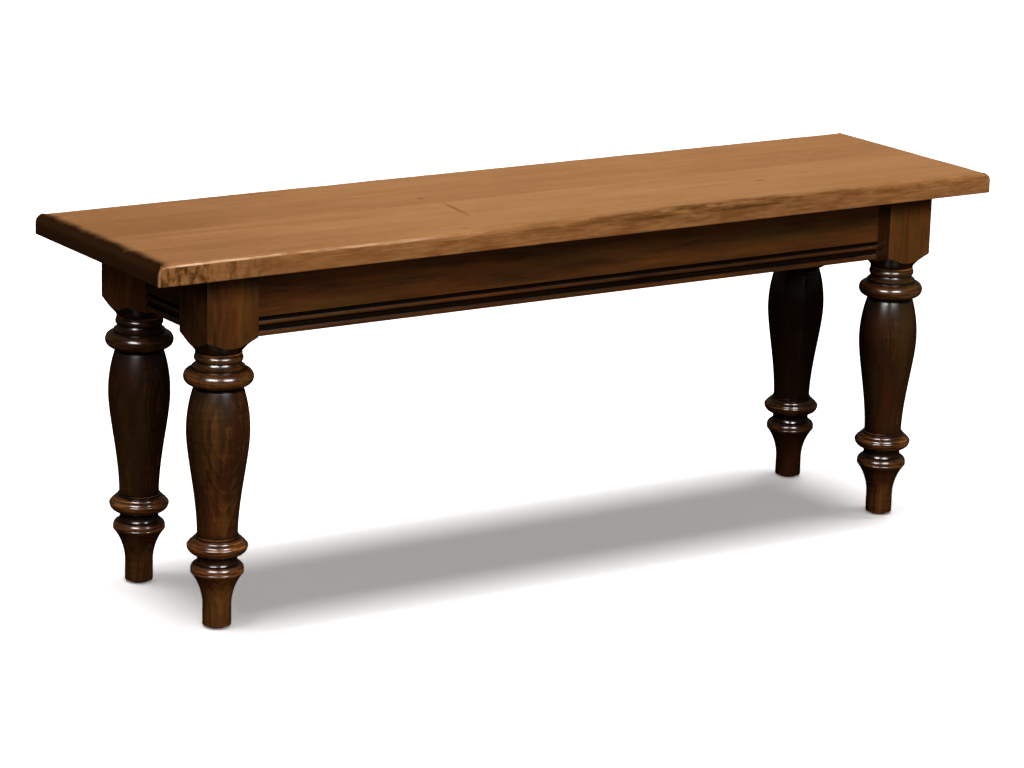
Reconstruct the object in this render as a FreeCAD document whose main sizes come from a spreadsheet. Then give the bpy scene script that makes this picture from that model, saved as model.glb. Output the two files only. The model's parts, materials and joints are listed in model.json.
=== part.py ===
"""Farmhouse bench: a plank seat on four turned legs, joined by beaded aprons.

Millimetres, +X along the bench, +Y towards its back, +Z up; the origin is on the floor
under the middle of the seat.
"""
import FreeCAD, Part
import math
import os
import Sketcher
from FreeCAD import Placement, Rotation, Vector

# Driving sizes
SIZES = {
    # Overall
    "bench_length": 1219.2,
    "bench_depth": 317.5,
    "bench_height": 459.8,
    # Seat
    "top_thickness": 25.4,
    "end_overhang": 76.2,
    "side_overhang": 25.4,
    "top_edge_radius": 11.0,
    "top_corner_radius": 4.0,
    "board_count": 4,
    # Square block and shoulder of a leg
    "block_width": 68.0,
    "block_height": 78.7,
    "shoulder_height": 19.4,
    "shoulder_radius": 62.0,
    "turning_allowance": 1.0,
    # Collar between the neck and the upper ring
    "neck_radius": 26.7,
    "collar_lip_height": 2.4,
    "collar_lip_radius": 27.8,
    "collar_bead_height": 9.3,
    "collar_bead_swell": 2.4,
    "collar_cove_height": 5.0,
    "collar_cove_radius": 9.4,
    "collar_fillet_height": 3.4,
    "collar_fillet_radius": 31.2,
    # Upper ring
    "upper_ring_height": 19.6,
    "upper_ring_root": 32.1,
    "upper_ring_swell": 9.4,
    "ring_quirk_height": 4.6,
    "ring_quirk_radius": 27.8,
    # Vase
    "vase_top_radius": 30.1,
    "belly_drop": 51.0,
    "belly_radius": 37.8,
    "belly_curve": 0.25,
    "waist_curve": 0.36,
    "waist_radius": 24.3,
    # Lower ring
    "lower_fillet_height": 2.8,
    "lower_fillet_radius": 26.0,
    "ring_flank_height": 9.3,
    "ring_flank_root": 27.0,
    "upper_step_height": 3.2,
    "upper_step_radius": 30.8,
    "lower_step_height": 3.6,
    "lower_step_radius": 34.8,
    "step_groove_depth": 0.8,
    "lower_ring_height": 10.9,
    "lower_ring_root": 25.8,
    "lower_ring_nose": 36.5,
    "lower_ring_curve": 11.5,
    # Ankle
    "ankle_cove_height": 10.2,
    "ankle_cove_radius": 25.2,
    "ankle_cove_depth": 1.4,
    "ankle_bead_height": 8.6,
    "ankle_bead_root": 25.8,
    "ankle_bead_radius": 31.8,
    "ankle_bead_curve": 8.2,
    "ankle_quirk_radius": 30.6,
    "ankle_fillet_height": 4.4,
    "ankle_fillet_swell": 1.3,
    # Foot
    "foot_flare_height": 44.4,
    "foot_flare_curve": 68.0,
    "foot_radius": 17.2,
    "foot_shank_height": 20.0,
    # Aprons
    "apron_thickness": 20.6,
    "apron_height": 84.5,
    "bead_depth": 3.6,
    "lower_bead_height": 8.2,
    "lower_bead_flat": 3.4,
    "upper_bead_height": 8.8,
    "bead_quirk_height": 3.2,
    # Mortise and tenon joints
    "tenon_thickness": 8.0,
    "tenon_length": 24.0,
    "tenon_margin": 12.0,
    "mortise_clearance": 0.1,
    "mortise_end_gap": 0.5,
    # Corner braces
    "brace_thickness": 16.0,
    "brace_height": 50.0,
    "brace_drop": 6.0,
    "leg_flat_depth": 15.5,
    # Centre rail
    "rail_thickness": 24.0,
    "rail_height": 40.0,
    "rail_tenon_thickness": 12.0,
    "rail_tenon_height": 16.0,
    "rail_tenon_rise": 3.0,
    "rail_tenon_length": 8.0,
    "rail_screw_inset": 45.0,
    "rail_bore_depth": 22.0,
    # Wooden buttons and the groove that takes their tongues
    "groove_drop": 10.0,
    "groove_height": 8.0,
    "groove_depth": 6.0,
    "button_length": 30.0,
    "button_reach": 34.0,
    "button_height": 20.0,
    "button_gap": 0.8,
    "tongue_clearance": 0.3,
    "tongue_end_gap": 0.8,
    "button_end_distance": 120.0,
    "button_rail_distance": 160.0,
    # Wood screws
    "screw_radius": 2.2,
    "screw_head_radius": 4.2,
    "screw_head_height": 2.6,
    "screw_bite": 14.0,
    "screw_clearance": 0.1,
    "brace_screw_cover": 6.0,
    # Glides
    "glide_height": 2.6,
    "glide_radius": 13.0,
    "glide_floor_radius": 11.5,
    "nail_radius": 1.3,
    "nail_head_radius": 3.6,
    "nail_head_height": 0.8,
    "nail_bite": 16.0,
}
COLUMN_NAME = "A"
COLUMN_VALUE = "B"
EDGE_TOLERANCE = 0.01

doc = FreeCAD.newDocument("farmhouse_bench")
sheet = doc.addObject("Spreadsheet::Sheet", "sizes")
for row, (alias, value) in enumerate(SIZES.items(), start=1):
    sheet.set(f"{COLUMN_NAME}{row}", alias)
    sheet.set(f"{COLUMN_VALUE}{row}", str(value))
    sheet.setAlias(f"{COLUMN_VALUE}{row}", alias)
doc.recompute()

# Places worked out from the driving sizes
LEG_TOP = "(sizes.bench_height - sizes.top_thickness)"
LEG_X = "(sizes.bench_length / 2 - sizes.end_overhang - sizes.block_width / 2)"
LEG_Y = "(sizes.bench_depth / 2 - sizes.side_overhang - sizes.block_width / 2)"
LONG_APRON = f"(2 * {LEG_X} - sizes.block_width)"
SHORT_APRON = f"(2 * {LEG_Y} - sizes.block_width)"
INNER_FACE = f"({LEG_Y} - sizes.apron_thickness / 2)"
LEG_FLAT = "(sizes.block_width / sqrt(2) - sizes.leg_flat_depth)"
BRACE_NEAR = f"({LEG_FLAT} * sqrt(2) - sizes.apron_thickness / 2)"
BRACE_FAR = f"(({LEG_FLAT} + sizes.brace_thickness) * sqrt(2) - sizes.apron_thickness / 2)"
BRACE_SCREW = f"(({BRACE_NEAR} + {BRACE_FAR}) / 2)"
BRACE_MIDDLE = f"({LEG_TOP} - sizes.brace_drop - sizes.brace_height / 2)"
RAIL_BOTTOM = f"({LEG_TOP} - sizes.rail_height)"
RAIL_SCREW_Y = f"({INNER_FACE} - sizes.rail_screw_inset)"
BUTTON_OUTER_X = f"({LONG_APRON} / 2 - sizes.button_end_distance)"
BUTTON_INNER_X = "sizes.button_rail_distance"
BUTTON_SCREW = "(sizes.button_gap + sizes.button_reach / 2)"
BUTTON_SCREW_Y = f"({INNER_FACE} - {BUTTON_SCREW})"
SCREW_HOLE = "(sizes.screw_radius + sizes.screw_clearance)"
HEAD_HOLE = "(sizes.screw_head_radius + sizes.screw_clearance)"
PILOT_DEPTH = "(sizes.screw_bite + sizes.screw_clearance)"
TENON_HEIGHT = "(sizes.apron_height - 2 * sizes.tenon_margin)"

# Legs and aprons stand on the corners and sides of one rectangle, numbered round from the front left.
CORNERS = [
    ("front_left", -1, -1, 0),
    ("front_right", 1, -1, 90),
    ("back_right", 1, 1, 180),
    ("back_left", -1, 1, 270),
]
subparts = []


def number(expression):
    """The value that an expression has now."""
    return float(sheet.evalExpression(expression))


def bind(thing, **expressions):
    """Bind properties of an object; x, y and z stand for its place."""
    for name, expression in expressions.items():
        path = f"Placement.Base.{name}" if name in "xyz" else name
        thing.setExpression(path, expression)


def new_body(name):
    body = doc.addObject("PartDesign::Body", name)
    body.Label = name
    subparts.append(body)
    return body


def new_sketch(body, name, role):
    sketch = body.newObject("Sketcher::SketchObject", name)
    plane = next(item for item in body.Origin.OriginFeatures if item.Role == role)
    sketch.AttachmentSupport = [(plane, "")]
    sketch.MapMode = "FlatFace"
    return sketch


def fix_point(sketch, item, spot, across, up):
    """Place one point of a sketch at two expressions."""
    for kind, expression in (("DistanceX", across), ("DistanceY", up)):
        constraint = Sketcher.Constraint(kind, -1, 1, item, spot, number(expression))
        index = sketch.addConstraint(constraint)
        sketch.setExpression(f"Constraints[{index}]", expression)


def add_side(sketch, start, end, kind):
    """Add a line, an arc ("out" or "in", radius) or a curve with its two inner poles."""
    if kind is None:
        return sketch.addGeometry(Part.LineSegment(start, end), False)
    if kind[0] == "curve":
        inner = [Vector(number(across), number(up), 0) for across, up in kind[1]]
        spline = Part.BSplineCurve([start, *inner, end], None, None, False, 3, None, False)
        return sketch.addGeometry(spline, False)
    chord = end - start
    radius = number(kind[1])
    rise = radius - math.sqrt(radius ** 2 - (chord.Length / 2) ** 2)
    outwards = Vector(-chord.y, chord.x, 0).normalize()
    if kind[0] == "in":
        rise = -rise
    middle = (start + end) * 0.5 + outwards * rise
    return sketch.addGeometry(Part.Arc(start, middle, end), False)


def fix_side(sketch, item, kind):
    """Bind the radius of an arc or the two inner poles of a curve."""
    if kind[0] == "curve":
        first_pole = sketch.GeometryCount
        sketch.exposeInternalGeometry(item)
        for offset, (across, up) in enumerate(kind[1], start=1):
            fix_point(sketch, first_pole + offset, 3, across, up)
        return
    index = sketch.addConstraint(Sketcher.Constraint("Radius", item, number(kind[1])))
    sketch.setExpression(f"Constraints[{index}]", kind[1])


def draw_outline(sketch, outline):
    """Draw a closed outline of (across, up, side) corners; side leads to the next corner.

    Sides run so that "out" bulges to the left of the way they go.
    """
    points = [Vector(number(across), number(up), 0) for across, up, _ in outline]
    ends = []
    for index, (_, _, kind) in enumerate(outline):
        start = points[index]
        end = points[(index + 1) % len(points)]
        item = add_side(sketch, start, end, kind)
        starts_here = sketch.getPoint(item, 1).isEqual(start, EDGE_TOLERANCE)
        ends.append((item, 1, 2) if starts_here else (item, 2, 1))
    for index, (item, _, last) in enumerate(ends):
        follower, first, _ = ends[(index + 1) % len(ends)]
        sketch.addConstraint(Sketcher.Constraint("Coincident", item, last, follower, first))
    for (item, first, _), (across, up, kind) in zip(ends, outline):
        fix_point(sketch, item, first, across, up)
        if kind is not None:
            fix_side(sketch, item, kind)


def rectangle(left, bottom, right, top):
    return [(left, bottom, None), (right, bottom, None), (right, top, None), (left, top, None)]


def draw_circle(sketch, across, up, radius):
    centre = Vector(number(across), number(up), 0)
    item = sketch.addGeometry(Part.Circle(centre, Vector(0, 0, 1), number(radius)))
    fix_point(sketch, item, 3, across, up)
    index = sketch.addConstraint(Sketcher.Constraint("Radius", item, number(radius)))
    sketch.setExpression(f"Constraints[{index}]", radius)


def add_pad(body, sketch, length, midplane=False):
    pad = body.newObject("PartDesign::Pad", f"{body.Name}_pad")
    pad.Profile = sketch
    pad.Midplane = midplane
    bind(pad, Length=length)
    return pad


def cut_box(body, length, width, height, x, y, z, turn=0):
    """Cut a box whose lowest corner is at x, y, z, turned about the vertical."""
    box = body.newObject("PartDesign::SubtractiveBox", f"{body.Name}_slot")
    box.Placement = Placement(Vector(), Rotation(Vector(0, 0, 1), turn))
    bind(box, Length=length, Width=width, Height=height, x=x, y=y, z=z)


def cut_bore(body, radius, height, x, y, z, direction):
    """Cut a round bore that starts at x, y, z and runs along a direction."""
    bore = body.newObject("PartDesign::SubtractiveCylinder", f"{body.Name}_bore")
    bore.Placement = Placement(Vector(), Rotation(Vector(0, 0, 1), direction))
    bind(bore, Radius=radius, Height=height, x=x, y=y, z=z)


def place(thing, turn, **expressions):
    thing.Placement = Placement(Vector(), Rotation(Vector(0, 0, 1), turn))
    bind(thing, **expressions)


def arc_over(chord, rise):
    """The radius of an arc that rises over a chord."""
    return f"((({chord}) / 2) ^ 2 + ({rise}) ^ 2) / (2 * ({rise}))"


def quarter_round(reach, drop):
    """The radius of an arc that starts level and runs out by a reach over a drop."""
    return f"(({reach}) ^ 2 + ({drop}) ^ 2) / (2 * ({drop}))"


# Turned legs: the stock is squared above the neck, and everything below is round.
def leg_outline():
    """Half the leg's outline from the top of the block down to the foot, as radius and height."""
    stock = "(sizes.block_width / sqrt(2) + sizes.turning_allowance)"
    corner = "(sizes.block_width / sqrt(2))"
    tip = f"({LEG_TOP} - sizes.block_height)"
    neck = f"({tip} - sizes.shoulder_height)"
    collar = f"({neck} - sizes.collar_lip_height)"
    cove = f"({collar} - sizes.collar_bead_height)"
    fillet = f"({cove} - sizes.collar_cove_height)"
    ring = f"({fillet} - sizes.collar_fillet_height)"
    quirk = f"({ring} - sizes.upper_ring_height)"
    vase = f"({quirk} - sizes.ring_quirk_height)"
    belly = f"({vase} - sizes.belly_drop)"
    foot = "sizes.glide_height"
    flare = f"({foot} + sizes.foot_shank_height)"
    ankle = f"({flare} + sizes.foot_flare_height)"
    bead = f"({ankle} + sizes.ankle_fillet_height)"
    ankle_cove = f"({bead} + sizes.ankle_bead_height)"
    lower_ring = f"({ankle_cove} + sizes.ankle_cove_height)"
    nose = f"({lower_ring} + sizes.lower_ring_height)"
    flank = f"({nose} + sizes.ring_flank_height)"
    upper_step = f"({flank} - sizes.upper_step_height)"
    lower_step = f"({upper_step} - sizes.lower_step_height)"
    waist = f"({flank} + sizes.lower_fillet_height)"
    drop = f"({belly} - {waist})"
    swell = "(sizes.belly_radius - sizes.vase_top_radius)"
    belly_arc = f"(sizes.belly_drop ^ 2 + {swell} ^ 2) / (2 * {swell})"
    poles = [
        ("sizes.belly_radius", f"{belly} - sizes.belly_curve * {drop}"),
        ("sizes.waist_radius", f"{waist} + sizes.waist_curve * {drop}"),
    ]
    collar_arc = arc_over("sizes.collar_bead_height", "sizes.collar_bead_swell")
    ring_arc = arc_over("sizes.upper_ring_height", "sizes.upper_ring_swell")
    upper_groove = "(sizes.upper_step_radius - sizes.step_groove_depth)"
    lower_groove = "(sizes.lower_step_radius - sizes.step_groove_depth)"
    upper_arc = quarter_round("sizes.upper_step_radius - sizes.ring_flank_root", "sizes.upper_step_height")
    lower_arc = quarter_round(f"sizes.lower_step_radius - {upper_groove}", "sizes.lower_step_height")
    nose_arc = quarter_round(f"sizes.lower_ring_nose - {lower_groove}", f"{lower_step} - {nose}")
    ankle_arc = arc_over("sizes.ankle_cove_height", "sizes.ankle_cove_depth")
    fillet_arc = arc_over("sizes.ankle_fillet_height", "sizes.ankle_fillet_swell")
    return [
        ("0", LEG_TOP, None),
        (stock, LEG_TOP, None),
        (stock, tip, None),
        (corner, tip, ("in", "sizes.shoulder_radius")),
        ("sizes.neck_radius", neck, None),
        ("sizes.collar_lip_radius", neck, None),
        ("sizes.collar_lip_radius", collar, None),
        ("sizes.neck_radius", collar, ("out", collar_arc)),
        ("sizes.neck_radius", cove, ("in", "sizes.collar_cove_radius")),
        ("sizes.collar_fillet_radius", fillet, None),
        ("sizes.collar_fillet_radius", ring, None),
        ("sizes.upper_ring_root", ring, ("out", ring_arc)),
        ("sizes.upper_ring_root", quirk, None),
        ("sizes.ring_quirk_radius", quirk, None),
        ("sizes.ring_quirk_radius", vase, None),
        ("sizes.vase_top_radius", vase, ("out", belly_arc)),
        ("sizes.belly_radius", belly, ("curve", poles)),
        ("sizes.waist_radius", waist, None),
        ("sizes.lower_fillet_radius", waist, None),
        ("sizes.lower_fillet_radius", flank, None),
        ("sizes.ring_flank_root", flank, ("out", upper_arc)),
        ("sizes.upper_step_radius", upper_step, None),
        (upper_groove, upper_step, ("out", lower_arc)),
        ("sizes.lower_step_radius", lower_step, None),
        (lower_groove, lower_step, ("out", nose_arc)),
        ("sizes.lower_ring_nose", nose, ("out", "sizes.lower_ring_curve")),
        ("sizes.lower_ring_root", lower_ring, None),
        ("sizes.ankle_cove_radius", lower_ring, ("in", ankle_arc)),
        ("sizes.ankle_cove_radius", ankle_cove, None),
        ("sizes.ankle_bead_root", ankle_cove, ("out", "sizes.ankle_bead_curve")),
        ("sizes.ankle_bead_radius", bead, None),
        ("sizes.ankle_quirk_radius", bead, ("out", fillet_arc)),
        ("sizes.ankle_quirk_radius", ankle, ("in", "sizes.foot_flare_curve")),
        ("sizes.foot_radius", flare, None),
        ("sizes.foot_radius", foot, None),
        ("0", foot, None),
    ]


def make_leg(name, side_x, side_y, turn):
    body = new_body(f"leg_{name}")
    profile = new_sketch(body, f"{body.Name}_profile", "XZ_Plane")
    draw_outline(profile, leg_outline())
    turning = body.newObject("PartDesign::Revolution", f"{body.Name}_turning")
    turning.Profile = profile
    turning.ReferenceAxis = (profile, ["V_Axis"])
    turning.Angle = 360
    square_up(body)
    mortise_width = "(sizes.tenon_thickness + 2 * sizes.mortise_clearance)"
    mortise_height = f"({TENON_HEIGHT} + 2 * sizes.mortise_clearance)"
    mortise_depth = "(sizes.tenon_length + sizes.mortise_end_gap)"
    mortise_floor = f"({LEG_TOP} - sizes.tenon_margin - {TENON_HEIGHT} - sizes.mortise_clearance)"
    deep = f"(sizes.block_width / 2 - {mortise_depth})"
    aside = f"(-{mortise_width} / 2)"
    cut_box(body, mortise_depth, mortise_width, mortise_height, deep, aside, mortise_floor)
    cut_box(body, mortise_width, mortise_depth, mortise_height, aside, deep, mortise_floor)
    flat_width = "(2 * sizes.leg_flat_depth)"
    flat_height = "(sizes.brace_drop + sizes.brace_height)"
    cut_box(
        body, "sizes.leg_flat_depth", flat_width, flat_height,
        f"({LEG_FLAT} + sizes.leg_flat_depth) / sqrt(2)",
        f"({LEG_FLAT} - sizes.leg_flat_depth) / sqrt(2)",
        f"{LEG_TOP} - {flat_height}", turn=45,
    )
    nail_hole = "(sizes.nail_radius + sizes.screw_clearance)"
    cut_bore(body, nail_hole, "sizes.nail_bite", "0", "0", "sizes.glide_height", Vector(0, 0, 1))
    place(body, turn, x=f"{side_x} * {LEG_X}", y=f"{side_y} * {LEG_Y}")


def square_up(body):
    """Cut the turned stock to a square block, down to the neck."""
    sketch = new_sketch(body, f"{body.Name}_square", "XY_Plane")
    sketch.setExpression("AttachmentOffset.Base.z", LEG_TOP)
    half = "sizes.block_width / 2"
    draw_outline(sketch, rectangle(f"-{half}", f"-{half}", half, half))
    draw_circle(sketch, "0", "0", "sizes.block_width / sqrt(2) + 2 * sizes.turning_allowance")
    pocket = body.newObject("PartDesign::Pocket", f"{body.Name}_squaring")
    pocket.Profile = sketch
    bind(pocket, Length="sizes.block_height + sizes.shoulder_height")


# Aprons: boards with a double bead milled along the lower outer edge and a tenon at each end.
def apron_outline():
    """The apron's end section: outer face at -half thickness, top edge at zero height."""
    outer = "(-sizes.apron_thickness / 2)"
    inner = "(sizes.apron_thickness / 2)"
    root = f"({outer} + sizes.bead_depth)"
    bottom = "(-sizes.apron_height)"
    lower_bead = f"({bottom} + sizes.lower_bead_height)"
    upper_bead = f"({lower_bead} + sizes.bead_quirk_height)"
    upper_end = f"({upper_bead} + sizes.upper_bead_height)"
    flat = f"({upper_end} + sizes.bead_quirk_height)"
    nose = f"({bottom} + sizes.lower_bead_flat)"
    round_height = "(sizes.lower_bead_height - sizes.lower_bead_flat)"
    lower_arc = f"({round_height} ^ 2 + sizes.bead_depth ^ 2) / (2 * sizes.bead_depth)"
    upper_arc = arc_over("sizes.upper_bead_height", "sizes.bead_depth")
    return [
        (outer, "0", None),
        (inner, "0", None),
        (inner, bottom, None),
        (outer, bottom, None),
        (outer, nose, ("out", lower_arc)),
        (root, lower_bead, None),
        (root, upper_bead, ("out", upper_arc)),
        (root, upper_end, None),
        (root, flat, None),
        (outer, flat, None),
    ]


def make_apron(name, length, turn, long_side, **spot):
    body = new_body(f"apron_{name}")
    section = new_sketch(body, f"{body.Name}_section", "YZ_Plane")
    draw_outline(section, apron_outline())
    add_pad(body, section, length, midplane=True)
    tenon = new_sketch(body, f"{body.Name}_tenon", "YZ_Plane")
    half = "sizes.tenon_thickness / 2"
    low = "sizes.tenon_margin - sizes.apron_height"
    draw_outline(tenon, rectangle(f"-{half}", low, half, "-sizes.tenon_margin"))
    add_pad(body, tenon, f"{length} + 2 * sizes.tenon_length", midplane=True)
    screw_height = f"{BRACE_MIDDLE} - {LEG_TOP}"
    from_end = f"({BRACE_SCREW} - sizes.block_width / 2)"
    for end in (-1, 1):
        cut_bore(
            body, SCREW_HOLE, PILOT_DEPTH, f"{end} * ({length} / 2 - {from_end})",
            "sizes.apron_thickness / 2", screw_height, Vector(0, -1, 0),
        )
    if long_side:
        cut_button_groove(body, length)
        cut_rail_mortise(body)
    place(body, turn, z=LEG_TOP, **spot)


def cut_button_groove(body, length):
    """Cut the groove along the inner face that takes the buttons' tongues."""
    cut_box(
        body, length, "sizes.groove_depth", "sizes.groove_height", f"-{length} / 2",
        "sizes.apron_thickness / 2 - sizes.groove_depth", "-sizes.groove_drop - sizes.groove_height",
    )


def cut_rail_mortise(body):
    """Cut the mortise in the middle of the inner face for the centre rail's stub tenon."""
    width = "(sizes.rail_tenon_thickness + 2 * sizes.mortise_clearance)"
    depth = "(sizes.rail_tenon_length + sizes.mortise_end_gap)"
    height = "(sizes.rail_tenon_height + 2 * sizes.mortise_clearance)"
    cut_box(
        body, width, depth, height, f"-{width} / 2", f"sizes.apron_thickness / 2 - {depth}",
        "sizes.rail_tenon_rise - sizes.rail_height - sizes.mortise_clearance",
    )


# Corner braces: mitred between the aprons, flat against the leg's inner corner.
def make_brace(name, side_x, side_y, turn):
    body = new_body(f"corner_brace_{name}")
    plan = new_sketch(body, f"{body.Name}_plan", "XY_Plane")
    apron_face = "sizes.apron_thickness / 2"
    draw_outline(plan, [
        (BRACE_NEAR, apron_face, None),
        (BRACE_FAR, apron_face, None),
        (apron_face, BRACE_FAR, None),
        (apron_face, BRACE_NEAR, None),
    ])
    add_pad(body, plan, "sizes.brace_height", midplane=True)
    seat = f"({apron_face} + sizes.brace_screw_cover)"
    outside = f"({BRACE_FAR} - {seat})"
    for radius, start in ((SCREW_HOLE, apron_face), (HEAD_HOLE, seat)):
        cut_bore(body, radius, outside, BRACE_SCREW, start, "0", Vector(0, 1, 0))
        cut_bore(body, radius, outside, start, BRACE_SCREW, "0", Vector(1, 0, 0))
    place(body, turn, x=f"{side_x} * {LEG_X}", y=f"{side_y} * {LEG_Y}", z=BRACE_MIDDLE)


# Centre rail: holds the long aprons parallel and is screwed up into the seat.
def make_rail():
    body = new_body("centre_rail")
    section = new_sketch(body, "rail_section", "XZ_Plane")
    half = "sizes.rail_thickness / 2"
    draw_outline(section, rectangle(f"-{half}", "0", half, "sizes.rail_height"))
    add_pad(body, section, f"2 * {INNER_FACE}", midplane=True)
    tenon = new_sketch(body, "rail_tenon", "XZ_Plane")
    half = "sizes.rail_tenon_thickness / 2"
    tenon_top = "sizes.rail_tenon_rise + sizes.rail_tenon_height"
    draw_outline(tenon, rectangle(f"-{half}", "sizes.rail_tenon_rise", half, tenon_top))
    add_pad(body, tenon, f"2 * ({INNER_FACE} + sizes.rail_tenon_length)", midplane=True)
    for end in (-1, 1):
        spot = f"{end} * {RAIL_SCREW_Y}"
        cut_bore(body, SCREW_HOLE, "sizes.rail_height", "0", spot, "0", Vector(0, 0, 1))
        cut_bore(body, HEAD_HOLE, "sizes.rail_bore_depth", "0", spot, "0", Vector(0, 0, 1))
    place(body, 0, z=RAIL_BOTTOM)


# Wooden buttons: a block screwed to the seat, with a tongue in the apron's groove.
def make_button(name, turn, x, y):
    body = new_body(f"top_button_{name}")
    section = new_sketch(body, f"{body.Name}_section", "YZ_Plane")
    near = "sizes.button_gap"
    far = "(sizes.button_gap + sizes.button_reach)"
    tip = "(sizes.tongue_end_gap - sizes.groove_depth)"
    tongue_top = "(-sizes.groove_drop)"
    tongue_bottom = f"({tongue_top} - sizes.groove_height + sizes.tongue_clearance)"
    draw_outline(section, [
        (near, "0", None),
        (far, "0", None),
        (far, "-sizes.button_height", None),
        (near, "-sizes.button_height", None),
        (near, tongue_bottom, None),
        (tip, tongue_bottom, None),
        (tip, tongue_top, None),
        (near, tongue_top, None),
    ])
    add_pad(body, section, "sizes.button_length", midplane=True)
    low = "-sizes.button_height"
    cut_bore(body, SCREW_HOLE, "sizes.button_height", "0", BUTTON_SCREW, low, Vector(0, 0, 1))
    cut_bore(body, HEAD_HOLE, "sizes.screw_head_height", "0", BUTTON_SCREW, low, Vector(0, 0, 1))
    place(body, turn, x=x, y=y, z=LEG_TOP)


# Seat boards: edge-glued side by side, with rounded outer upper edges.
def make_board(index, count):
    body = new_body(f"seat_board_{index + 1}")
    width = "(sizes.bench_depth / sizes.board_count)"
    front = f"({index} * {width} - sizes.bench_depth / 2)"
    back = f"({index + 1} * {width} - sizes.bench_depth / 2)"
    half = "sizes.bench_length / 2"
    plan = new_sketch(body, f"{body.Name}_plan", "XY_Plane")
    draw_outline(plan, rectangle(f"-{half}", front, half, back))
    solid = add_pad(body, plan, "sizes.top_thickness")
    solid.recompute(True)
    outer_side = {0: number(front), count - 1: number(back)}.get(index)
    if outer_side is not None:
        corners = [name for name, edge in named_edges(solid) if is_outer_corner(edge, outer_side)]
        solid = round_edges(body, solid, corners, "sizes.top_corner_radius")
    rims = [name for name, edge in named_edges(solid) if is_upper_rim(edge, outer_side)]
    round_edges(body, solid, rims, "sizes.top_edge_radius")
    drill_pilots(body)
    place(body, 0, z=LEG_TOP)


def named_edges(feature):
    return [(f"Edge{index}", edge) for index, edge in enumerate(feature.Shape.Edges, start=1)]


def is_outer_corner(edge, outer_side):
    upright = edge.BoundBox.ZLength > number("sizes.top_thickness") / 2
    return upright and abs(edge.CenterOfMass.y - outer_side) < EDGE_TOLERANCE


def is_upper_rim(edge, outer_side):
    """Upper edges at the two ends of the seat and, on an outer board, along its outer side."""
    box = edge.BoundBox
    if box.ZMin < number("sizes.top_thickness") - EDGE_TOLERANCE:
        return False
    at_end = box.XLength < number("sizes.bench_length") / 2
    at_side = outer_side is not None and abs(edge.CenterOfMass.y - outer_side) < EDGE_TOLERANCE
    return at_end or at_side


def round_edges(body, feature, names, radius):
    fillet = body.newObject("PartDesign::Fillet", f"{body.Name}_rounding")
    fillet.Base = (feature, names)
    bind(fillet, Radius=radius)
    fillet.recompute(True)
    return fillet


def drill_pilots(body):
    """Drill the pilot holes that fall in this board, from its underside."""
    sketch = new_sketch(body, f"{body.Name}_pilots", "XY_Plane")
    for x, y in button_spots() + rail_screw_spots():
        draw_circle(sketch, x, y, SCREW_HOLE)
    pocket = body.newObject("PartDesign::Pocket", f"{body.Name}_drilling")
    pocket.Profile = sketch
    pocket.Reversed = True
    bind(pocket, Length=PILOT_DEPTH)


def button_spots():
    """Where the button screws enter the seat."""
    spots = []
    for side in (-1, 1):
        for x in (f"-{BUTTON_OUTER_X}", f"-{BUTTON_INNER_X}", BUTTON_INNER_X, BUTTON_OUTER_X):
            spots.append((x, f"{side} * {BUTTON_SCREW_Y}"))
    return spots


def rail_screw_spots():
    """Where the centre rail's screws enter the seat."""
    return [("0", f"{end} * {RAIL_SCREW_Y}") for end in (-1, 1)]


# Fasteners: each group of like screws or nails is one node of separate solids.
def make_screw(name, radius, length, head_radius, head_height, direction, **spot):
    """A pin with a flat head; it starts under its head and runs along a direction."""
    head = doc.addObject("Part::Cylinder", f"{name}_head")
    bind(head, Radius=head_radius, Height=head_height, z=f"-{head_height}")
    shank = doc.addObject("Part::Cylinder", f"{name}_shank")
    bind(shank, Radius=radius, Height=length)
    screw = doc.addObject("Part::Fuse", name)
    screw.Base = head
    screw.Tool = shank
    screw.Placement = Placement(Vector(), Rotation(Vector(0, 0, 1), direction))
    bind(screw, **spot)
    return screw


def wood_screw(name, length, direction, **spot):
    head_radius = "sizes.screw_head_radius"
    head_height = "sizes.screw_head_height"
    return make_screw(
        name, "sizes.screw_radius", length, head_radius, head_height, direction, **spot
    )


def new_group(name, members):
    group = doc.addObject("Part::Compound", name)
    group.Label = name
    group.Links = members
    return group


def make_brace_screws():
    corners = []
    length = "(sizes.brace_screw_cover + sizes.screw_bite)"
    seat = "sizes.apron_thickness / 2 + sizes.brace_screw_cover"
    for name, side_x, side_y, turn in CORNERS:
        pair = [
            wood_screw(f"brace_screw_x_{name}", length, Vector(0, -1, 0), x=BRACE_SCREW, y=seat),
            wood_screw(f"brace_screw_y_{name}", length, Vector(-1, 0, 0), x=seat, y=BRACE_SCREW),
        ]
        corner = new_group(f"brace_screws_{name}", pair)
        place(corner, turn, x=f"{side_x} * {LEG_X}", y=f"{side_y} * {LEG_Y}", z=BRACE_MIDDLE)
        corners.append(corner)
    subparts.append(new_group("brace_screws", corners))


def make_seat_screws():
    upwards = Vector(0, 0, 1)
    button_seat = f"{LEG_TOP} - sizes.button_height + sizes.screw_head_height"
    button_length = "(sizes.button_height - sizes.screw_head_height + sizes.screw_bite)"
    button_screws = [
        wood_screw(f"button_screw_{index}", button_length, upwards, x=x, y=y, z=button_seat)
        for index, (x, y) in enumerate(button_spots(), start=1)
    ]
    subparts.append(new_group("button_screws", button_screws))
    rail_seat = f"{RAIL_BOTTOM} + sizes.rail_bore_depth"
    rail_length = "(sizes.rail_height - sizes.rail_bore_depth + sizes.screw_bite)"
    rail_screws = [
        wood_screw(f"rail_screw_{index}", rail_length, upwards, x=x, y=y, z=rail_seat)
        for index, (x, y) in enumerate(rail_screw_spots(), start=1)
    ]
    subparts.append(new_group("rail_screws", rail_screws))


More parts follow.
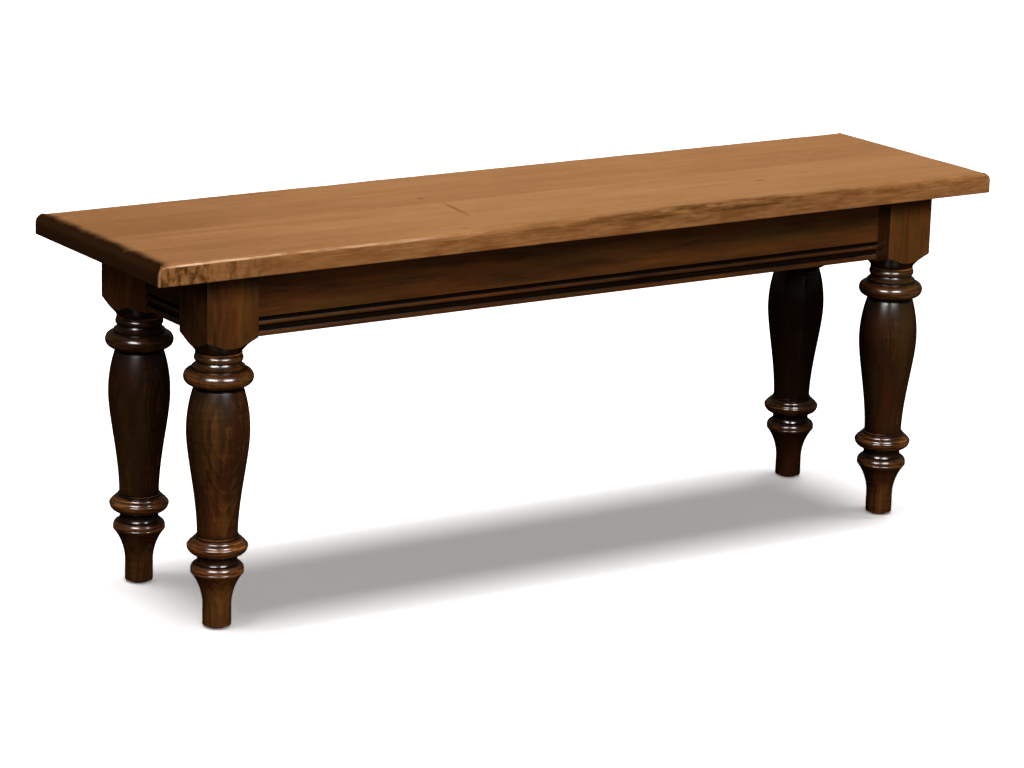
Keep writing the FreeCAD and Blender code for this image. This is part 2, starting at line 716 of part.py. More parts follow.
# Glides: a plastic disc nailed under each foot.
def make_glides():
    nails = []
    for name, side_x, side_y, _ in CORNERS:
        spot = {"x": f"{side_x} * {LEG_X}", "y": f"{side_y} * {LEG_Y}"}
        disc = doc.addObject("Part::Cone", f"glide_disc_{name}")
        bind(disc, Radius1="sizes.glide_floor_radius", Radius2="sizes.glide_radius")
        bind(disc, Height="sizes.glide_height")
        head_room = doc.addObject("Part::Cylinder", f"glide_recess_{name}")
        recess_height = "(sizes.glide_height / 2)"
        bind(head_room, Radius="sizes.nail_head_radius + sizes.screw_clearance", Height=recess_height)
        nail_hole = doc.addObject("Part::Cylinder", f"glide_hole_{name}")
        bind(nail_hole, Radius="sizes.nail_radius + sizes.screw_clearance", Height="sizes.glide_height")
        bore = doc.addObject("Part::Fuse", f"glide_bore_{name}")
        bore.Base = head_room
        bore.Tool = nail_hole
        glide = doc.addObject("Part::Cut", f"glide_{name}")
        glide.Label = f"glide_{name}"
        glide.Base = disc
        glide.Tool = bore
        bind(glide, **spot)
        subparts.append(glide)
        nail_length = "(sizes.glide_height / 2 + sizes.nail_bite - sizes.screw_clearance)"
        nails.append(make_screw(
            f"glide_nail_{name}", "sizes.nail_radius", nail_length, "sizes.nail_head_radius",
            "sizes.nail_head_height", Vector(0, 0, 1), z=recess_height, **spot,
        ))
    subparts.append(new_group("glide_nails", nails))


# Assembly
for corner in CORNERS:
    make_leg(*corner)
    make_brace(*corner)
make_apron("front", LONG_APRON, 0, True, y=f"-{LEG_Y}")
make_apron("back", LONG_APRON, 180, True, y=LEG_Y)
make_apron("left", SHORT_APRON, 270, False, x=f"-{LEG_X}")
make_apron("right", SHORT_APRON, 90, False, x=LEG_X)
make_rail()
for side, turn, inner_face in (("front", 0, f"-{INNER_FACE}"), ("back", 180, INNER_FACE)):
    button_places = (f"-{BUTTON_OUTER_X}", f"-{BUTTON_INNER_X}", BUTTON_INNER_X, BUTTON_OUTER_X)
    for index, x in enumerate(button_places, start=1):
        make_button(f"{side}_{index}", turn, x, inner_face)
board_count = int(number("sizes.board_count"))
for board in range(board_count):
    make_board(board, board_count)
make_brace_screws()
make_seat_screws()
make_glides()
doc.recompute()

# Checks before anything is written
for item in doc.Objects:
    if {"Invalid", "Error"} & set(item.State):
        raise RuntimeError(f"{item.Name} failed: {item.State}")
for item in subparts:
    if item.Shape.isNull() or not item.Shape.isValid():
        raise RuntimeError(f"{item.Label} has no valid shape")

os.makedirs("parts", exist_ok=True)
for item in subparts:
    item.Shape.exportStep(f"parts/{item.Label}.step")
    solids = len(item.Shape.Solids)
    print(f"{item.Label}: {solids} solid(s), {item.Shape.Volume / 1000:.1f} cm3")
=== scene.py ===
import json
import math

import bmesh
import bpy
from mathutils import Matrix, Vector, noise

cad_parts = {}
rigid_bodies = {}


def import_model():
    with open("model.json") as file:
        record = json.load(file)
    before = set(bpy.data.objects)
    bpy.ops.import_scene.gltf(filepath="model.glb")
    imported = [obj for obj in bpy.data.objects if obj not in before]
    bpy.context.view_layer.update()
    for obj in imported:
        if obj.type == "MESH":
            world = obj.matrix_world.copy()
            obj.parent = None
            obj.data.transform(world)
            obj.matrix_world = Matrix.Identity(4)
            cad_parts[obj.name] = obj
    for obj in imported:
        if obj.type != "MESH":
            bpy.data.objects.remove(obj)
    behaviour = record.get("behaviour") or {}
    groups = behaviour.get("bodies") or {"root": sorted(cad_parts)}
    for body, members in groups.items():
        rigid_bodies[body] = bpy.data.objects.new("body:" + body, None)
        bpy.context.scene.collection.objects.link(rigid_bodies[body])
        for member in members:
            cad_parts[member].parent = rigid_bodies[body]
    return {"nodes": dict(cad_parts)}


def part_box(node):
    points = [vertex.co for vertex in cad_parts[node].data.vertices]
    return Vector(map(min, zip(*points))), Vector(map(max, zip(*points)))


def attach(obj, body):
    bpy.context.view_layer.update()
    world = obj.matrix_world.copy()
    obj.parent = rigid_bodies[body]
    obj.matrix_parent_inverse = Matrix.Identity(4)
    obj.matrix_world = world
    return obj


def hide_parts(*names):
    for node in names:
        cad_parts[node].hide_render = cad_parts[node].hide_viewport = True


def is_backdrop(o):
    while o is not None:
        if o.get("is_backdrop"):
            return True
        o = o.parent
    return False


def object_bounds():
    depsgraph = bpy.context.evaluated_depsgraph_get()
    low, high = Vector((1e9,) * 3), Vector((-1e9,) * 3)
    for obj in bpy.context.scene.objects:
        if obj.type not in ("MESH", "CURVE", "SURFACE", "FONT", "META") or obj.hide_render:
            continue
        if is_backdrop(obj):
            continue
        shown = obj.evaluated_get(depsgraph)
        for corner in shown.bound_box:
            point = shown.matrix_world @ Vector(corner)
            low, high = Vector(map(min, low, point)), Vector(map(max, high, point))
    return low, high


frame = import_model()
cad_low, cad_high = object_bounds()


# Turned legs
# Four hard maple posts, turned on a lathe below a square block that takes the aprons' tenons. They
# are stained dark walnut, with black glaze wiped into the grooves, under a gloss lacquer. Painted
# shade deepens the hollows and darkens the block's underside, its top under the seat, and the back
# right leg all over.
MM = 0.001
SEAM = 0.01 * MM
NECK_HEIGHT = 336.3 * MM
NAIL_ROOM = 10 * MM
OUTLINE_STEP = 0.7 * MM
BLOCK_ARRIS = 0.9 * MM
FOOT_ARRIS = 0.8 * MM
FLAT_ANGLE = math.radians(0.2)
CREASE_ANGLE = math.radians(20)
SHARP_ANGLE = math.radians(30)
# The glaze black also paints shade in the hollows, under the block and seat, and over one leg.
WALNUT_DARK = "#331D0D"
WALNUT_LIGHT = "#70421C"
WALNUT_RED = "#652C12"
WALNUT_OLIVE = "#4E3A18"
WALNUT_WORN = "#C4793A"
GLAZE_AND_SHADE_BLACK = "#0A0502"

# Real sizes of what shows in the finish. The fibre of maple is too fine to show, so it is drawn
# about five times as coarse.
WAVE_LENGTH = math.tau / 20  # of Blender's wave texture at a scale of 1
RING_WANDER = 4 * MM
WANDER_LENGTH = 35 * MM
FIBRE_WIDTH = 1.1 * MM
CURL_WIDTH = 4 * MM
CLOUD_WIDTH = 22 * MM
STREAK_WIDTH = 6 * MM
BLUSH_WIDTH = 30 * MM
LATHE_LINE = 2 * MM
HOLLOW_REACH = 15 * MM
EDGE_REACH = 12 * MM
PORE_DEPTH = 0.08 * MM

# Heights between which the finish changes: painted shade under the seat, darker on the vase's
# shoulder below the upper ring, more stain below the block and lighter at the foot, the film of
# painted shade whole only above the lower ring, and no rubbing close to the floor.
UNDER_SEAT = (400 * MM, 420 * MM)
BELOW_NECK = (NECK_HEIGHT + 4 * MM, NECK_HEIGHT)
BELOW_RING = (294 * MM, 291 * MM)
SHOULDER = (262 * MM, 290 * MM)
WHOLE_SHADE_FILM = (60 * MM, 140 * MM)
AT_FOOT = (75 * MM, 40 * MM)
OFF_FLOOR = (10 * MM, 25 * MM)

# How each leg was sawn from its plank: the way from the heart of the tree to the leg's axis
# in degrees from +X, how far away the heart was, the lean in the grain and the ring spacing.
# Then its finish: the stain the block took, how much more the turned part took, and the share
# of painted shade laid all over. The back right leg's dark stain and film are painted shade under
# the bench, and the back left block's light stain is painted light.
LEG_SAWING = {
    "front_left": (-102, 90 * MM, -0.04, 3.6 * MM, -0.19, 0.21, 0.0),
    "front_right": (-170, 90 * MM, -0.03, 2.8 * MM, -0.3, 0.5, 0.0),
    "back_right": (20, 110 * MM, 0.03, 2.4 * MM, 0.4, 0.24, 0.6),
    "back_left": (-60, 70 * MM, 0.05, 2.6 * MM, -0.45, 0.55, 0.0),
}


def cad_copy(node_name):
    """A copy of a CAD node's mesh, its faces joined along their edges."""
    mesh = bmesh.new()
    mesh.from_mesh(frame["nodes"][node_name].data)
    bmesh.ops.remove_doubles(mesh, verts=mesh.verts, dist=SEAM)
    return mesh


def join_flats(mesh):
    """Joins the triangles of each flat face."""
    bmesh.ops.dissolve_limit(mesh, angle_limit=FLAT_ANGLE, verts=mesh.verts, edges=mesh.edges)


def round_arrises(mesh, arris, below=math.inf, above=-math.inf):
    """Rounds the sharp outer edges between two heights as sandpaper leaves them."""
    sharp = []
    for edge in mesh.edges:
        height = (edge.verts[0].co.z + edge.verts[1].co.z) / 2
        if edge.calc_face_angle_signed(0) > SHARP_ANGLE and above < height < below:
            sharp.append(edge)
    bmesh.ops.bevel(
        mesh, geom=sharp, offset=arris, offset_type="OFFSET", affect="EDGES",
        segments=2, profile=0.5, material=-1,
    )


def finish_piece(mesh, piece_name, node_name, material):
    """Makes a mesh the visual piece that stands in for a CAD node."""
    for face in mesh.faces:
        face.smooth = True
    for edge in mesh.edges:
        edge.smooth = edge.calc_face_angle(0) < CREASE_ANGLE
    data = bpy.data.meshes.new(piece_name)
    mesh.to_mesh(data)
    mesh.free()
    data.materials.append(material)
    piece = bpy.data.objects.new(piece_name, data)
    bpy.context.scene.collection.objects.link(piece)
    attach(piece, "root")
    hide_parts(node_name)


def turned_outline(mesh, axis):
    """Radius and height down the turned part of a leg, from its neck to its foot."""
    rows = {}
    for vert in mesh.verts:
        radius = (vert.co.xy - axis.xy).length
        if vert.co.z < NECK_HEIGHT + SEAM and radius > NAIL_ROOM:
            rows.setdefault(round(vert.co.z / SEAM), set()).add(round(radius / SEAM))
    outline = []
    for row in sorted(rows, reverse=True):
        radii = sorted(rows[row])
        if outline:
            above = outline[-1].x / SEAM
            if abs(radii[0] - above) > abs(radii[-1] - above):
                radii.reverse()
        for radius in radii:
            point = Vector((radius * SEAM, row * SEAM))
            if not outline or (point - outline[-1]).length > OUTLINE_STEP:
                outline.append(point)
    return outline


def turn_leg(node_name):
    """The CAD leg's block, with everything below its neck drawn out again in even rounds."""
    mesh = cad_copy(node_name)
    low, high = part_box(node_name)
    axis = (low + high) / 2
    outline = turned_outline(mesh, axis)
    below = [f for f in mesh.faces if max(v.co.z for v in f.verts) < NECK_HEIGHT + SEAM]
    bmesh.ops.delete(mesh, geom=below, context="FACES")
    join_flats(mesh)
    rim = [e for e in mesh.edges if e.is_boundary]
    for radius, height in outline[1:]:
        grown = bmesh.ops.extrude_edge_only(mesh, edges=rim)["geom"]
        ring = [item for item in grown if isinstance(item, bmesh.types.BMVert)]
        edges = [item for item in grown if isinstance(item, bmesh.types.BMEdge)]
        rim = [e for e in edges if all(v in ring for v in e.verts)]
        for vert in ring:
            outwards = (vert.co.xy - axis.xy).normalized() * radius
            vert.co = (axis.x + outwards.x, axis.y + outwards.y, height)
    bmesh.ops.edgeloop_fill(mesh, edges=rim)
    bmesh.ops.recalc_face_normals(mesh, faces=mesh.faces)
    round_arrises(mesh, BLOCK_ARRIS, above=NECK_HEIGHT + MM)
    round_arrises(mesh, FOOT_ARRIS, below=FOOT_ARRIS * 5)
    return mesh


def linear(code):
    """The linear colour of an sRGB hex value such as #AA794F."""
    shares = [int(code[i : i + 2], 16) / 255 for i in (1, 3, 5)]
    return (*[s / 12.92 if s <= 0.04045 else ((s + 0.055) / 1.055) ** 2.4 for s in shares], 1.0)


def add(tree, kind, inputs=None, **settings):
    """Adds a node with its settings. An input, named or numbered, takes a value, a socket or a node."""
    node = tree.nodes.new("ShaderNode" + kind)
    for name, value in settings.items():
        setattr(node, name, value)
    for key, value in (inputs or {}).items():
        named = [s for s in node.inputs if s.name == key and s.enabled]
        socket = named[0] if named else node.inputs[key]
        if isinstance(value, bpy.types.Node):
            value = next(s for s in value.outputs if s.enabled)
        if isinstance(value, bpy.types.NodeSocket):
            tree.links.new(value, socket)
        else:
            socket.default_value = value
    return node


def start_material(name):
    """A new material, with its tree, its shader and the place of a point on the piece."""
    material = bpy.data.materials.new(name)
    material.use_nodes = True
    tree = material.node_tree
    place = add(tree, "TexCoord").outputs["Object"]
    return material, tree, tree.nodes["Principled BSDF"], place


def walnut_maple(name, heart, turn, ring_spacing, shares, soak, dip, shade_film, grip, gloss, turned):
    """Maple stained dark walnut: growth rings about the heart, fine fibre, a little curl, cloudy
    stain, black glaze and painted shade in the hollows, painted shade on faces turned down under
    the block, under the seat and as a film, darker on the vase's shoulder, and orange brown on the
    rubbed rings, under lacquer."""
    material, tree, shader, place = start_material(name)
    ring_share, curl_share, streak_share = shares
    grain = add(tree, "Mapping", {0: place, "Location": heart, "Rotation": turn}, vector_type="TEXTURE")

    # Growth rings that sway, and fibre, curl, clouds, streaks and blushes along the grain
    long_way = add(tree, "VectorMath", {0: grain, 1: (1, 1, 0.12)}, operation="MULTIPLY")
    wander = add(tree, "TexNoise", {"Vector": long_way, "Scale": 1 / WANDER_LENGTH, "Detail": 2.0})
    swayed = add(
        tree, "VectorMath",
        {0: wander.outputs["Color"], 1: (RING_WANDER, RING_WANDER, 0), 2: grain},
        operation="MULTIPLY_ADD",
    )
    rings = add(
        tree, "TexWave",
        {"Vector": swayed, "Scale": WAVE_LENGTH / ring_spacing, "Distortion": 0.4, "Detail": 2.0},
        wave_type="RINGS", rings_direction="Z", wave_profile="SAW",
    )
    fibre_way = add(tree, "VectorMath", {0: grain, 1: (1, 1, 0.03)}, operation="MULTIPLY")
    fibre = add(tree, "TexNoise", {"Vector": fibre_way, "Scale": 1 / FIBRE_WIDTH, "Detail": 3.0})
    curl_way = add(tree, "Mapping", {0: grain, "Rotation": (0.4, 0.6, 0), "Scale": (0.15, 0.15, 1)})
    curl = add(tree, "TexNoise", {"Vector": curl_way, "Scale": 1 / CURL_WIDTH, "Detail": 3.0})
    cloud = add(tree, "TexNoise", {"Vector": long_way, "Scale": 1 / CLOUD_WIDTH, "Detail": 4.0})
    streak = add(tree, "TexNoise", {"Vector": long_way, "Scale": 1 / STREAK_WIDTH, "Detail": 4.0})
    blush_way = add(tree, "VectorMath", {0: grain, 1: (1, 1, 0.2)}, operation="MULTIPLY")
    blush = add(tree, "TexNoise", {"Vector": blush_way, "Scale": 1 / BLUSH_WIDTH, "Detail": 2.0})

    # Stain, with calmer rings on the block, darker below it and lighter at the foot
    height = add(tree, "SeparateXYZ", {0: place}).outputs["Z"]
    below_neck = add(
        tree, "MapRange",
        {"Value": height, "From Min": BELOW_NECK[0], "From Max": BELOW_NECK[1], "To Max": turned},
    )
    figured = add(tree, "MapRange", {"Value": below_neck, "To Min": 0.3})
    calm_rings = add(tree, "Mix", {"Factor": figured, "A": 0.5, "B": rings.outputs["Fac"]})
    calm_curl = add(tree, "Mix", {"Factor": figured, "A": 0.5, "B": curl})
    ring_tone = add(tree, "Math", {0: calm_rings, 1: ring_share, 2: soak}, operation="MULTIPLY_ADD")
    fibre_tone = add(tree, "Math", {0: fibre, 1: 0.3, 2: ring_tone}, operation="MULTIPLY_ADD")
    curl_tone = add(tree, "Math", {0: calm_curl, 1: curl_share, 2: fibre_tone}, operation="MULTIPLY_ADD")
    streak_tone = add(tree, "Math", {0: streak, 1: streak_share, 2: curl_tone}, operation="MULTIPLY_ADD")
    tone = add(tree, "Math", {0: cloud, 1: 0.9, 2: streak_tone}, operation="MULTIPLY_ADD")
    dipped = add(tree, "Math", {0: below_neck, 1: dip, 2: tone}, operation="MULTIPLY_ADD")
    at_foot = add(
        tree, "MapRange",
        {"Value": height, "From Min": AT_FOOT[0], "From Max": AT_FOOT[1], "To Max": turned},
    )
    stain_tone = add(tree, "Math", {0: at_foot, 1: -0.22, 2: dipped}, operation="MULTIPLY_ADD")
    depth = add(tree, "MapRange", {"Value": stain_tone, "From Min": 0.8, "From Max": 1.35})
    stain = add(
        tree, "Mix", {"Factor": depth, "A": linear(WALNUT_LIGHT), "B": linear(WALNUT_DARK)},
        data_type="RGBA",
    )
    redder = add(tree, "MapRange", {"Value": blush, "From Min": 0.5, "From Max": 0.75, "To Max": 0.3})
    red = add(
        tree, "Mix", {"Factor": redder, "A": stain, "B": linear(WALNUT_RED)}, data_type="RGBA"
    )
    duller = add(tree, "MapRange", {"Value": blush, "From Min": 0.5, "From Max": 0.25, "To Max": 0.5})
    warm = add(
        tree, "Mix", {"Factor": duller, "A": red, "B": linear(WALNUT_OLIVE)}, data_type="RGBA"
    )

    # Orange brown where cloth and hands rub the raised rings, in lines that the lathe left
    off_floor = add(
        tree, "MapRange", {"Value": height, "From Min": OFF_FLOOR[0], "From Max": OFF_FLOOR[1]}
    )
    in_reach = add(tree, "Math", {0: below_neck, 1: off_floor}, operation="MULTIPLY")
    edge = add(
        tree, "AmbientOcclusion", {"Distance": EDGE_REACH}, only_local=True, inside=True, samples=8
    )
    raised = add(
        tree, "MapRange",
        {"Value": edge.outputs["AO"], "From Min": 0.85, "From Max": 0.55, "To Max": 0.9},
    )
    lathe_way = add(tree, "VectorMath", {0: place, 1: (0.06, 0.06, 1)}, operation="MULTIPLY")
    lathe = add(tree, "TexNoise", {"Vector": lathe_way, "Scale": 1 / LATHE_LINE, "Detail": 3.0})
    lines = add(tree, "MapRange", {"Value": lathe, "From Min": 0.44, "From Max": 0.58})
    rubbed_lines = add(tree, "Math", {0: raised, 1: lines}, operation="MULTIPLY")
    rubbed = add(tree, "Math", {0: rubbed_lines, 1: in_reach}, operation="MULTIPLY")
    bright = add(
        tree, "Mix", {"Factor": rubbed, "A": warm, "B": linear(WALNUT_WORN)}, data_type="RGBA"
    )

    # Glaze and painted shade in hollows, painted shade on faces turned down under the block, under
    # the seat and as a film, and darker on the vase's shoulder below the upper ring
    hollow = add(tree, "AmbientOcclusion", {"Distance": HOLLOW_REACH}, only_local=True, samples=8)
    shade_film_share = add(
        tree, "MapRange",
        {"Value": height, "From Min": WHOLE_SHADE_FILM[0], "From Max": WHOLE_SHADE_FILM[1],
         "To Min": 0.4 * shade_film, "To Max": shade_film},
    )
    hollow_glaze_and_shade = add(
        tree, "MapRange",
        {"Value": hollow.outputs["AO"], "From Min": 0.98, "From Max": grip, "To Min": shade_film_share},
    )
    facing = add(tree, "SeparateXYZ", {0: add(tree, "NewGeometry").outputs["Normal"]})
    painted_shade_facing_down = add(
        tree, "MapRange",
        {"Value": facing.outputs["Z"], "From Min": -0.2, "From Max": -0.45, "To Max": 0.85},
    )
    above_neck = add(
        tree, "MapRange",
        {"Value": height, "From Min": NECK_HEIGHT - MM, "From Max": NECK_HEIGHT + MM, "To Max": turned},
    )
    painted_shade_under_block = add(tree, "Math", {0: painted_shade_facing_down, 1: above_neck}, operation="MULTIPLY")
    painted_shade_under_seat = add(
        tree, "MapRange",
        {"Value": height, "From Min": UNDER_SEAT[0], "From Max": UNDER_SEAT[1], "To Max": 0.55 * turned},
    )
    under_ring = add(
        tree, "MapRange", {"Value": height, "From Min": SHOULDER[0], "From Max": SHOULDER[1]}
    )
    on_vase = add(
        tree, "MapRange",
        {"Value": height, "From Min": BELOW_RING[0], "From Max": BELOW_RING[1], "To Max": 0.5 * turned},
    )
    on_shoulder = add(tree, "Math", {0: under_ring, 1: on_vase}, operation="MULTIPLY")
    painted_block_shade = add(tree, "Math", {0: painted_shade_under_block, 1: painted_shade_under_seat}, operation="MAXIMUM")
    painted_shade_and_shoulder = add(tree, "Math", {0: painted_block_shade, 1: on_shoulder}, operation="MAXIMUM")
    glazed = add(tree, "Math", {0: hollow_glaze_and_shade, 1: painted_shade_and_shoulder}, operation="MAXIMUM")
    glaze_share = add(tree, "Math", {0: glazed, 1: 0.97}, operation="MULTIPLY")
    colour = add(
        tree, "Mix", {"Factor": glaze_share, "A": bright, "B": linear(GLAZE_AND_SHADE_BLACK)}, data_type="RGBA"
    )

    # Lacquer, a little duller in clouds, that lets the pores show
    polish = add(
        tree, "MapRange",
        {"Value": cloud, "From Min": 0.3, "From Max": 0.7, "To Min": gloss, "To Max": gloss + 0.05},
    )
    pores = add(tree, "Bump", {"Height": fibre, "Distance": PORE_DEPTH, "Strength": 0.3})
    tree.links.new(colour.outputs[2], shader.inputs["Base Color"])
    tree.links.new(polish.outputs[0], shader.inputs["Roughness"])
    tree.links.new(pores.outputs[0], shader.inputs["Normal"])
    shader.inputs["Specular IOR Level"].default_value = 0.35
    return material


for corner, (bearing, distance, lean, ring_spacing, soak, dip, shade_film) in LEG_SAWING.items():
    low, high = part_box(f"leg_{corner}")
    away = Vector((math.cos(math.radians(bearing)), math.sin(math.radians(bearing)), 0))
    heart = (low + high) / 2 - away * distance
    wood = walnut_maple(
        f"walnut_stained_maple_leg_{corner}", heart, (lean, 0, 0), ring_spacing,
        shares=(0.2, 0.42, 0.7), soak=soak, dip=dip, shade_film=shade_film, grip=0.6, gloss=0.185, turned=1.0,
    )
    leg = turn_leg(f"leg_{corner}")
    finish_piece(leg, f"turned_leg_{corner}", f"leg_{corner}", wood)


# Beaded aprons
# Four boards of the same maple, with two beads and their quirks run along the lower edge by a
# moulding cutter. Tenons at their ends are glued into the leg blocks; the finish is the legs'.
APRON_ARRIS = 0.5 * MM
APRON_RING_SPACING = 3 * MM
APRON_HEART = Vector((30, 50, -160)) * MM
APRON_TURNS = {
    "front": (0, math.pi / 2, 0),
    "back": (0, math.pi / 2, 0),
    "left": (math.pi / 2, 0, 0),
    "right": (math.pi / 2, 0, 0),
}

for side, turn in APRON_TURNS.items():
    low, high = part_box(f"apron_{side}")
    heart = (low + high) / 2 + APRON_HEART
    wood = walnut_maple(
        f"walnut_stained_maple_apron_{side}", heart, turn, APRON_RING_SPACING,
        shares=(0.04, 0.1, 0.3), soak=0.34, dip=0.0, shade_film=0.0, grip=0.91, gloss=0.18, turned=0.0,
    )
    apron = cad_copy(f"apron_{side}")
    join_flats(apron)
    round_arrises(apron, APRON_ARRIS)
    finish_piece(apron, f"beaded_apron_{side}", f"apron_{side}", wood)


# Corner braces, centre rail and top buttons
# Plain maple left its own colour where nobody looks: braces screwed across the corners, a rail
# between the long aprons, and buttons whose tongues hold the seat down but let it move.
INNER_ARRIS = 0.6 * MM
INNER_PALE = "#C8A67C"
INNER_BROWN = "#9C7347"
INNER_HEART = Vector((20, 30, 90)) * MM
INNER_RING_SPACING = 3 * MM
INNER_FIBRE_WIDTH = 1.2 * MM
INNER_PORE_DEPTH = 0.15 * MM


def bare_maple(name, heart, turn):
    """Planed maple under one coat of sealer: pale, with faint rings and fine fibre, which is drawn
    coarser than it is, as on the legs."""
    material, tree, shader, place = start_material(name)
    grain = add(tree, "Mapping", {0: place, "Location": heart, "Rotation": turn}, vector_type="TEXTURE")
    rings = add(
        tree, "TexWave",
        {"Vector": grain, "Scale": WAVE_LENGTH / INNER_RING_SPACING, "Distortion": 2.0, "Detail": 2.0},
        wave_type="RINGS", rings_direction="Z", wave_profile="SAW",
    )
    fibre_way = add(tree, "VectorMath", {0: grain, 1: (1, 1, 0.03)}, operation="MULTIPLY")
    fibre = add(
        tree, "TexNoise", {"Vector": fibre_way, "Scale": 1 / INNER_FIBRE_WIDTH, "Detail": 3.0}
    )
    tone = add(tree, "Math", {0: rings.outputs["Fac"], 1: 0.4, 2: fibre}, operation="MULTIPLY_ADD")
    depth = add(tree, "MapRange", {"Value": tone, "From Min": 0.35, "From Max": 1.05})
    colour = add(
        tree, "Mix", {"Factor": depth, "A": linear(INNER_PALE), "B": linear(INNER_BROWN)},
        data_type="RGBA",
    )
    pores = add(tree, "Bump", {"Height": fibre, "Distance": INNER_PORE_DEPTH, "Strength": 0.4})
    tree.links.new(colour.outputs[2], shader.inputs["Base Color"])
    tree.links.new(pores.outputs[0], shader.inputs["Normal"])
    shader.inputs["Roughness"].default_value = 0.5
    return material


for name in sorted(frame["nodes"]):
    if not name.startswith(("corner_brace", "centre_rail", "top_button")):
        continue
    low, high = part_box(name)
    heart = (low + high) / 2 + INNER_HEART
    sign = -1 if name.endswith(("front_left", "back_right")) else 1
    diagonal = (math.pi / 2, 0, sign * math.pi / 4)
    turn = diagonal if name.startswith("corner_brace") else (math.pi / 2, 0, 0)
    wood = bare_maple(f"bare_maple_{name}", heart, turn)
    block = cad_copy(name)
    join_flats(block)
    round_arrises(block, INNER_ARRIS)
    finish_piece(block, f"planed_{name}", name, wood)


# Seat boards
# Four maple boards glued edge to edge, the outer edge rounded over by hand, so that it wavers. They
# are stained light brown, darker on the end grain and the front edge, under satin lacquer. Painted
# shade creeps over the rounded ends, and the pale worn arris and two corners carry a painted highlight.
CORNER_RADIUS = 4 * MM
EVEN_RADIUS = 8 * MM
TIGHT_RADIUS = 5 * MM
FULL_RADIUS = 11 * MM
LEFT_END_RADIUS = 13 * MM
RIGHT_END_RADIUS = 8 * MM
LOWER_ARRIS = 1.2 * MM
ARRIS_REACH = LOWER_ARRIS * 1.5
ROUNDING_REACH = 30 * MM
WAVER_SPACING = 60 * MM
WAVER = 0.14
CUT_SPACING = 6 * MM

# The front's rounding is tight as far as the first of these shares of the seat's half length from
# its middle, and full from the second on.
TIGHT_TO = -0.75
FULL_FROM = 0.15

# The rim colour is painted shade on the ends' upturned rounding; the worn one is also a painted
# highlight.
SEAT_LIGHT = "#C18B58"
SEAT_BROWN = "#99663A"
SEAT_BAND = "#86542A"
SEAT_END = "#482E1A"
SEAT_RIM_SHADE = "#281608"
SEAT_GLAZE = "#503216"
SEAT_WORN_AND_HIGHLIGHT = "#E4BC94"
SEAT_MARK = "#6E4522"
SEAT_MOTTLE = "#472508"
BOARD_TONES = {1: 0.42, 2: 0.36, 3: 0.52, 4: 0.46}

# Real sizes of what shows in the finish; fibre and flecks, too fine to show, are drawn coarser.
SEAT_FIBRE_WIDTH = 1.6 * MM
SEAT_FLECK_WIDTH = 2.2 * MM
SEAT_STREAK_WIDTH = 9 * MM
SEAT_CURL_WIDTH = 9 * MM
SEAT_CLOUD_WIDTH = 40 * MM
SEAT_PORE_DEPTH = 0.1 * MM
MOTTLE_WIDTH = 9 * MM
BLOTCH_WIDTH = 9 * MM
SMEAR_REACH = 14 * MM
CREEP_WIDTH = 28 * MM
CREEP_REACH = 18 * MM
LEFT_SHADE_REACH = 11 * MM

# Where along the bench, from its middle, a change of finish, painted shade and painted highlight
# included, begins and is complete.
DARKER_TO_LEFT = (-200 * MM, -550 * MM)
PALE_ARRIS = (-50 * MM, -450 * MM)
MOTTLED = (-420 * MM, -560 * MM)
GLAZED = (-200 * MM, 100 * MM)
THINNED = (200 * MM, 500 * MM)
LEFT_SHADE_CREEP = (100 * MM, -100 * MM)

# The same across the edges, from the front edge and from the ends, outwards.
FRONT_GLAZE = (10 * MM, -2 * MM)
END_GRAIN_AND_SHADE = (-2 * MM, 15 * MM)

# A dent across the grain and a few dark flecks: middle, half length, half width, turn.
MARK_DEPTH = 10 * MM
SEAT_MARKS = [
    (Vector((-141, -42)) * MM, 56 * MM, 4 * MM, math.radians(83)),
    (Vector((306, -63)) * MM, 9 * MM, 4 * MM, 0.2),
    (Vector((-148, 28)) * MM, 7 * MM, 4 * MM, 0.0),
    (Vector((-190, -140)) * MM, 7 * MM, 3 * MM, 0.3),
]


def rim_gap(point):
    """How far a point is inside the seat's outline, and the level way out to it."""
    past_end = abs(point.x) - cad_high.x + CORNER_RADIUS
    past_side = abs(point.y) - cad_high.y + CORNER_RADIUS
    over = Vector((past_end, past_side))
    if min(over) > 0:
        gap = CORNER_RADIUS - over.length
        way = over.normalized()
    else:
        gap = CORNER_RADIUS - max(over)
        way = Vector((1, 0)) if over.x > over.y else Vector((0, 1))
    return gap, Vector((math.copysign(way.x, point.x), math.copysign(way.y, point.y), 0))


def hand_radius(point):
    """The radius that hand work left on the upper edge near a point, tightest at the front left."""
    to_right = (point.x / cad_high.x - TIGHT_TO) / (FULL_FROM - TIGHT_TO)
    to_right = min(max(to_right, 0.0), 1.0)
    front_radius = TIGHT_RADIUS + (FULL_RADIUS - TIGHT_RADIUS) * to_right
    side_radius = front_radius if point.y < 0 else FULL_RADIUS
    end_radius = LEFT_END_RADIUS if point.x < 0 else RIGHT_END_RADIUS
    to_end = max(cad_high.x - abs(point.x), SEAM)
    to_side = max(cad_high.y - abs(point.y), SEAM)
    radius = (side_radius * to_end + end_radius * to_side) / (to_end + to_side)
    spot = Vector((point.x, point.y, 0)) / WAVER_SPACING
    return radius * (1 + WAVER * noise.fractal(spot, 0.8, 2.0, 3))


